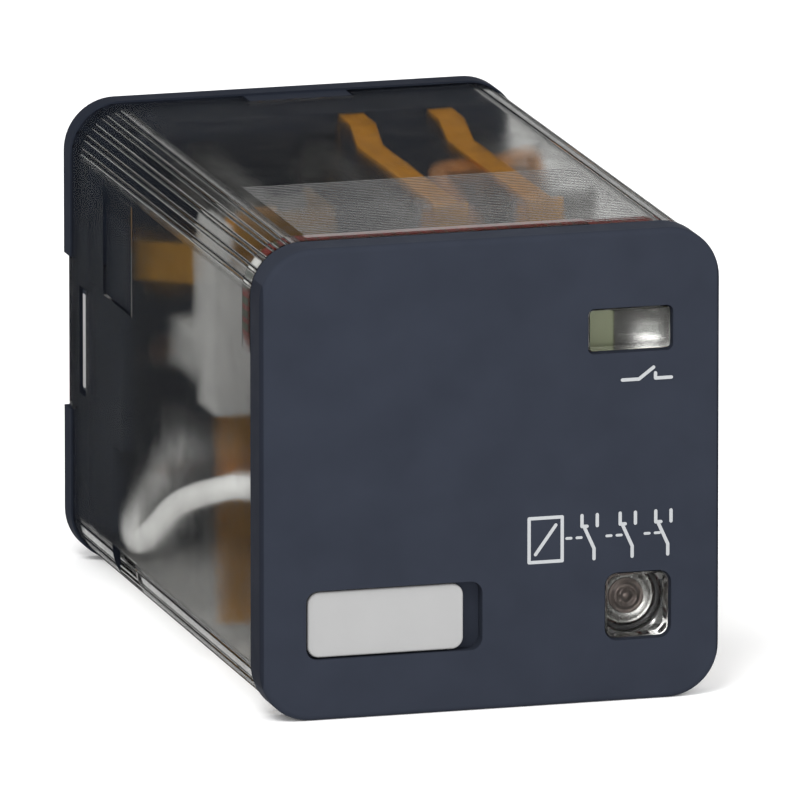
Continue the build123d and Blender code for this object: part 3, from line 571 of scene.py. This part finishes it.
# ---------------------------------------------------------------- leads, welds and the spring
# The flexible leads, from their pins' (x, z) places to the blades, in millimetres: a weld's side is 1
# behind its blade and -1 in front, where the left lead comes round its blade's edge
LEADS = {
    "lead_left": {
        "pin": (-7.2, -6.24), "radius": 0.95, "finish": "lead_sleeve", "weld_r": 1.05, "side": -1,
        "route": [
            (-11.6, -8.0, -10.6), (-14.0, -9.8, -13.0), (-15.0, -13.6, -14.2), (-15.1, -18.6, -12.5),
            (-15.3, -26.5, -8.2), (-15.35, -33.0, -6.0), (-15.35, -38.5, -4.4), (-15.1, -43.2, -3.0),
            (-14.1, -44.8, -2.9), (-13.1, -43.6, -3.3), (-12.8, -40.0, -4.0)],
        "end": (-12.6, -36.4, -4.4)},
    "lead_centre": {
        "pin": (7.2, -6.24), "radius": 0.6, "finish": "lead_braid", "weld_r": 0.65, "side": 1,
        "route": [
            (12.2, -8.8, -1.6), (14.3, -13.0, 1.0), (15.2, -16.0, 6.5), (15.2, -17.6, 14.2),
            (12.4, -20.4, 15.0), (10.4, -23.6, 15.1), (4.6, -23.8, 15.1), (4.3, -30.0, 14.8),
            (4.2, -38.9, 13.3)],
        "end": (2.6, -39.6, 12.85)},
    "lead_right": {
        "pin": (2.68, -9.14), "radius": 0.78, "finish": "lead_sleeve", "weld_r": 1.05, "side": 1,
        "route": [
            (12.4, -8.0, -12.8), (14.4, -15.0, -12.8), (14.3, -26.0, -10.0), (13.6, -33.0, -7.6),
            (9.6, -38.9, -5.2)],
        "end": (9.0, -39.6, -5.0)},
}
PLUG_Y = (-5.1, -7.1)               # each lead's first two points lie straight in front of its pin
STRANDS_R = 0.42

# Turned profiles as (radius, height): a bead of solder on a blade, in shares of its weld's radius, and
# the drop on a pin's tip, in millimetres
BEAD = [(0.2, 0.5), (0.6, 0.42), (0.9, 0.15), (1.0, 0.0)]
TIP = [(0.72, -0.3), (0.70, -0.02), (0.55, 0.07), (0.3, 0.13), (0.1, 0.14)]


def make_leads():
    """Sleeved leads with bare ends, and the braid that links the middle pin and blade."""
    for name, plan in LEADS.items():
        x, z = plan["pin"]
        points = [(x, y, z) for y in PLUG_Y] + plan["route"]
        tube = tube_mesh(name, in_metres(points), plan["radius"] * MM)
        lead = add_piece(name + "_sleeve", tube, None, plan["finish"])
        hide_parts(name)
        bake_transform(lead)
        strands = tube_mesh(name, in_metres([*points[-2:], plan["end"]]), STRANDS_R * MM)
        tail = add_piece(name + "_strands", strands, None, "lead_braid")
        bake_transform(tail)


def make_welds():
    """Solder where the leads meet the blades, and on the pins' tips."""
    welds = []
    for plan in LEADS.values():
        x, y, z = plan["end"]
        size, side = plan["weld_r"], plan["side"]
        profile = [(radius * size, y + side * height * size) for radius, height in BEAD]
        welds.append(lathe_mesh(profile, (x, z), 20))
    add_piece("lead_welds", join_meshes(welds), "armature", "silver_contact", "solder")
    tips = []
    for number in range(1, PIN_COUNT + 1):
        place, end = middle_of(f"pin_{number:02d}")
        tips.append(lathe_mesh([(radius, end + height) for radius, height in TIP], place, 24))
    add_piece("pin_tips", join_meshes(tips), "relay", "pin_metal", "solder")


WIRE_R, COIL_R, COIL_TURNS, COIL_STEPS = 0.11 * MM, 0.80 * MM, 17, 12
HOOK_LENGTH, HOOK_BEND, HOOK_OVERLAP = 1.2 * MM, 0.4 * MM, 0.3 * MM


def make_spring():
    """The wound return spring with its two hooks, in place of its envelope."""
    low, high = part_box("return_spring")
    z = (low.z + high.z) / 2
    front, back = low.y + HOOK_LENGTH, high.y - HOOK_LENGTH
    rise = (back - front) / (COIL_TURNS * COIL_STEPS)
    points = [(0, low.y - HOOK_OVERLAP, z), (0, low.y + HOOK_BEND, z)]
    points.append((0, front - HOOK_OVERLAP, z + COIL_R))
    for index in range(COIL_TURNS * COIL_STEPS + 1):
        turn = 2 * pi * index / COIL_STEPS + pi / 2
        points.append((COIL_R * cos(turn), front + rise * index, z + COIL_R * sin(turn)))
    points.append((0, back + HOOK_OVERLAP, z + COIL_R))
    points += [(0, high.y - HOOK_BEND, z), (0, high.y + HOOK_OVERLAP, z)]
    tube = tube_mesh("spring", points, WIRE_R, 8, 3)
    spring = add_piece("return_spring_wound", tube, None, "spring_steel")
    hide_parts("return_spring")
    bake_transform(spring)


# ---------------------------------------------------------------- numbers and print
NUMBER_SIZE, NUMBER_T, NUMBER_CIRCLE_R = 2.1 * MM, 0.08 * MM, 13.4 * MM


def make_pin_numbers():
    """Raised pin numbers on the socket face, round the pin circle."""
    pieces = []
    for number in range(1, PIN_COUNT + 1):
        (x, z), _ = middle_of(f"pin_{number:02d}")
        place = Vector((x, 0, z)).normalized() * NUMBER_CIRCLE_R
        facing = Matrix(((-1, 0, 0, place.x), (0, 0, 1, 0), (0, 1, 0, place.z), (0, 0, 0, 1)))
        text = bpy.data.curves.new("number", "FONT")
        text.body = str(number)
        text.size, text.extrude = NUMBER_SIZE, NUMBER_T
        text.align_x, text.align_y = "CENTER", "CENTER"
        holder = bpy.data.objects.new("number", text)
        bpy.context.scene.collection.objects.link(holder)
        mesh = bmesh.new()
        mesh.from_mesh(evaluated_mesh(holder))
        mesh.transform(facing)
        pieces.append(mesh)
    add_piece("pin_numbers", join_meshes(pieces), "relay", "base_plastic")


# The ink's thickness, a line's width and the rise for each corner already drawn, then the symbols'
# places on the face, in millimetres: the coil's left, low, right and high, the dashes, and the poles
INK_T, INK_W, INK_STEP = 0.01, 0.26, 0.00005
COIL_SYMBOL = (3.0, -7.0, 5.6, -3.6)
DASHES, DASH_LENGTH, DASH_W = (5.95, 6.75, 9.1, 9.9, 12.1, 12.9), 0.35, 0.8 * INK_W
POLES = (8.1, 11.1, 13.9)
SINGLE_CONTACT = [((10.3, 6.7), (11.6, 6.7)), ((11.6, 6.7), (12.75, 7.55)),
                  ((12.9, 6.7), (14.15, 6.7)), ((12.9, 6.7), (12.9, 7.1))]
CAP_POINTS = 7


def stroke(mesh, start, end, width=INK_W):
    """A printed line with round ends on the front face, between two (x, z) places in millimetres.

    Each line lies a hair above the one before, so that no two faces share a plane."""
    a, b = Vector(start), Vector(end)
    angle = atan2(b.y - a.y, b.x - a.x)
    rim = []
    for centre, first in ((b, angle - pi / 2), (a, angle + pi / 2)):
        for index in range(CAP_POINTS):
            turn = first + pi * index / (CAP_POINTS - 1)
            rim.append((centre.x + width / 2 * cos(turn), centre.y + width / 2 * sin(turn)))
    front, back = FRONT_Y - (INK_T + INK_STEP * len(mesh.verts)) * MM, FRONT_Y + INK_T * MM
    near = [mesh.verts.new((x * MM, front, z * MM)) for x, z in rim]
    far = [mesh.verts.new((x * MM, back, z * MM)) for x, z in rim]
    mesh.faces.new(near)
    mesh.faces.new(far)
    bridge(mesh, near, far)


def make_print():
    """Plain circuit symbols in light ink: a coil that works three change-over contacts, and one contact."""
    mesh = bmesh.new()
    left, low, right, high = COIL_SYMBOL
    middle = (low + high) / 2
    corners = [(left, low), (right, low), (right, high), (left, high)]
    for start, end in zip(corners, corners[1:] + corners[:1]):
        stroke(mesh, start, end)
    stroke(mesh, (left + 0.5, low + 0.6), (right - 0.5, high - 0.6))
    for x in DASHES:
        stroke(mesh, (x, middle), (x + DASH_LENGTH, middle), DASH_W)
    for x in POLES:
        pivot, stop = middle - 0.9, high - 0.85
        stroke(mesh, (x, low), (x, pivot))
        stroke(mesh, (x, pivot), (x - 0.75, middle + 0.75))
        stroke(mesh, (x - 0.95, high), (x - 0.95, stop))
        stroke(mesh, (x - 0.95, stop), (x - 0.55, stop))
        stroke(mesh, (x + 0.25, high), (x + 0.25, stop))
    for start, end in SINGLE_CONTACT:
        stroke(mesh, start, end)
    add_piece("front_symbols", mesh, "relay", "label_plastic", "print_ink")


# ---------------------------------------------------------------- lamp
# What shows through the lens: slot, finish, and (radius, height) in front of the lamp's back, in mm
LAMP_PIECES = {
    "lamp_frame": ("spring_steel", "lamp_core", [
        (0.05, 0.30), (0.38, 0.30), (0.44, 0.14), (0.62, 0.12), (0.70, 0.26), (0.92, 0.27), (1.0, 0.12),
        (1.22, 0.10), (1.32, 0.16), (1.40, 0.04)]),
    "lamp_dish": ("lamp_collar", "lamp_dish", [
        (1.42, 0.04), (1.6, 0.08), (1.85, 0.16), (2.1, 0.29), (2.16, 0.28), (2.18, 0.04)]),
    # a dark rim on the lamp's body, put where the gap round it shows as shade: painted shade
    "lamp_rim_painted_shade": ("board_component", "board_component", [
        (2.30, -0.05), (2.30, 0.30), (2.40, 0.36), (2.66, 0.36), (2.70, 0.30), (2.70, -0.05)]),
}


def make_lamp_core():
    """A stepped brown core, the pale dish round it, and a dark rim outside that paints shade into the gap
    round the lamp.
    """
    centre, back = middle_of("indicator_lamp")
    for name, (slot, finish, steps) in LAMP_PIECES.items():
        profile = [(radius, back - height) for radius, height in steps]
        add_piece(name, lathe_mesh(profile, centre), "relay", slot, finish)


dress_frame()
make_leads()
make_welds()
make_spring()
make_pin_numbers()
make_print()
make_lamp_core()
make_floor()
make_lights()
make_camera()
